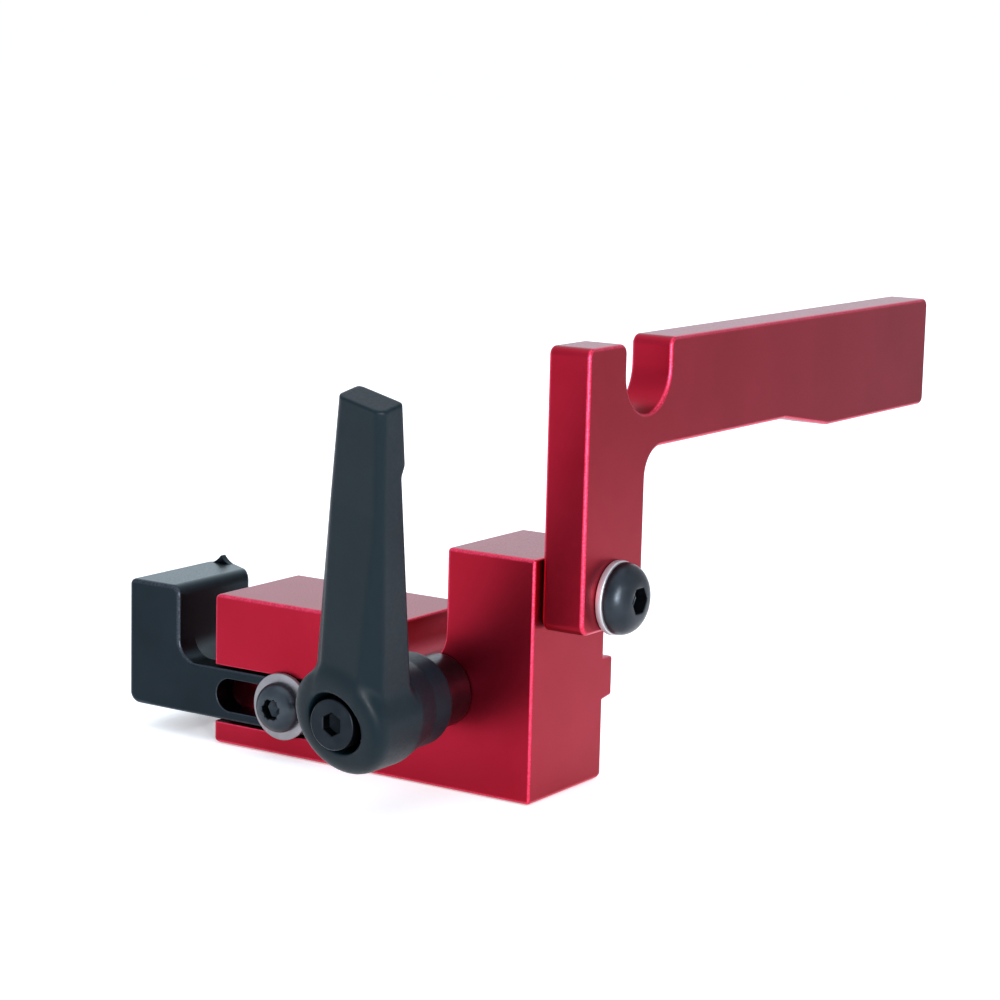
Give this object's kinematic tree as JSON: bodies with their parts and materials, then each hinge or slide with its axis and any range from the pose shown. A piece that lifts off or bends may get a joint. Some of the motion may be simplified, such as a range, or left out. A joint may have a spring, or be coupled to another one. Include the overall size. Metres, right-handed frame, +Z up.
{
  "type": "fence flip stop",
  "caption": "Anodised T-slot fence stop with a fold-up arm, a sliding end hook and a ratchet clamping lever that draws a T-nut against the slot.",
  "frame": {"origin": "centre of the main block's bottom face", "axes": "+X along the fence towards the flip arm, +Y into the fence, +Z up"},
  "size_m": [0.1195, 0.2076, 0.0914],
  "materials": {
    "red_anodised": "bead-blasted, red anodised, satin",
    "black_anodised": "black anodised, satin",
    "black_coated_zinc": "textured black powder coat on die-cast zinc",
    "black_oxide_steel": "black oxide, lightly oiled",
    "bright_steel": "zinc plated, bright",
    "spring_steel": "drawn spring wire",
    "nylon": "natural nylon"
  },
  "bodies": {
    "block": {"main_block": "red_anodised", "hook_screw": "black_oxide_steel", "hook_washer": "bright_steel", "pivot_screw": "black_oxide_steel", "pivot_washer": "bright_steel", "pivot_friction_washer": "nylon"},
    "hook": {"stop_hook": "black_anodised"},
    "arm": {"flip_arm": "red_anodised"},
    "spindle": {"lever_insert": "black_oxide_steel", "clamp_stud": "bright_steel", "lever_screw": "black_oxide_steel", "lever_spring": "spring_steel"},
    "handle": {"lever_handle": "black_coated_zinc"},
    "nut": {"t_nut": "bright_steel"}
  },
  "joints": [
    {"name": "arm_flip", "type": "hinge", "parent": "block", "child": "arm", "pos_m": [0.0453, 0, 0.0413], "axis": [1, 0, 0], "range_deg": [-25, 130]},
    {"name": "hook_slide", "type": "slide", "parent": "block", "child": "hook", "axis": [1, 0, 0], "range_m": [-0.0115, 0.005]},
    {"name": "clamp_turn", "type": "hinge", "parent": "block", "child": "spindle", "pos_m": [0.0185, 0, 0.0204], "axis": [0, 1, 0], "range_deg": [-110, 0]},
    {"name": "lever_lift", "type": "slide", "parent": "spindle", "child": "handle", "axis": [0, -1, 0], "range_m": [0, 0.0042], "stiffness_N_per_m": 1500, "springref_m": -0.002, "deforming": ["lever_spring"]},
    {"name": "nut_draw", "type": "slide", "parent": "block", "child": "nut", "axis": [0, 1, 0], "range_m": [-0.0001, 0.001]}
  ],
  "couplings": [
    {"joint": "nut_draw", "follows": "clamp_turn", "m_per_rad": -0.00015915}
  ]
}
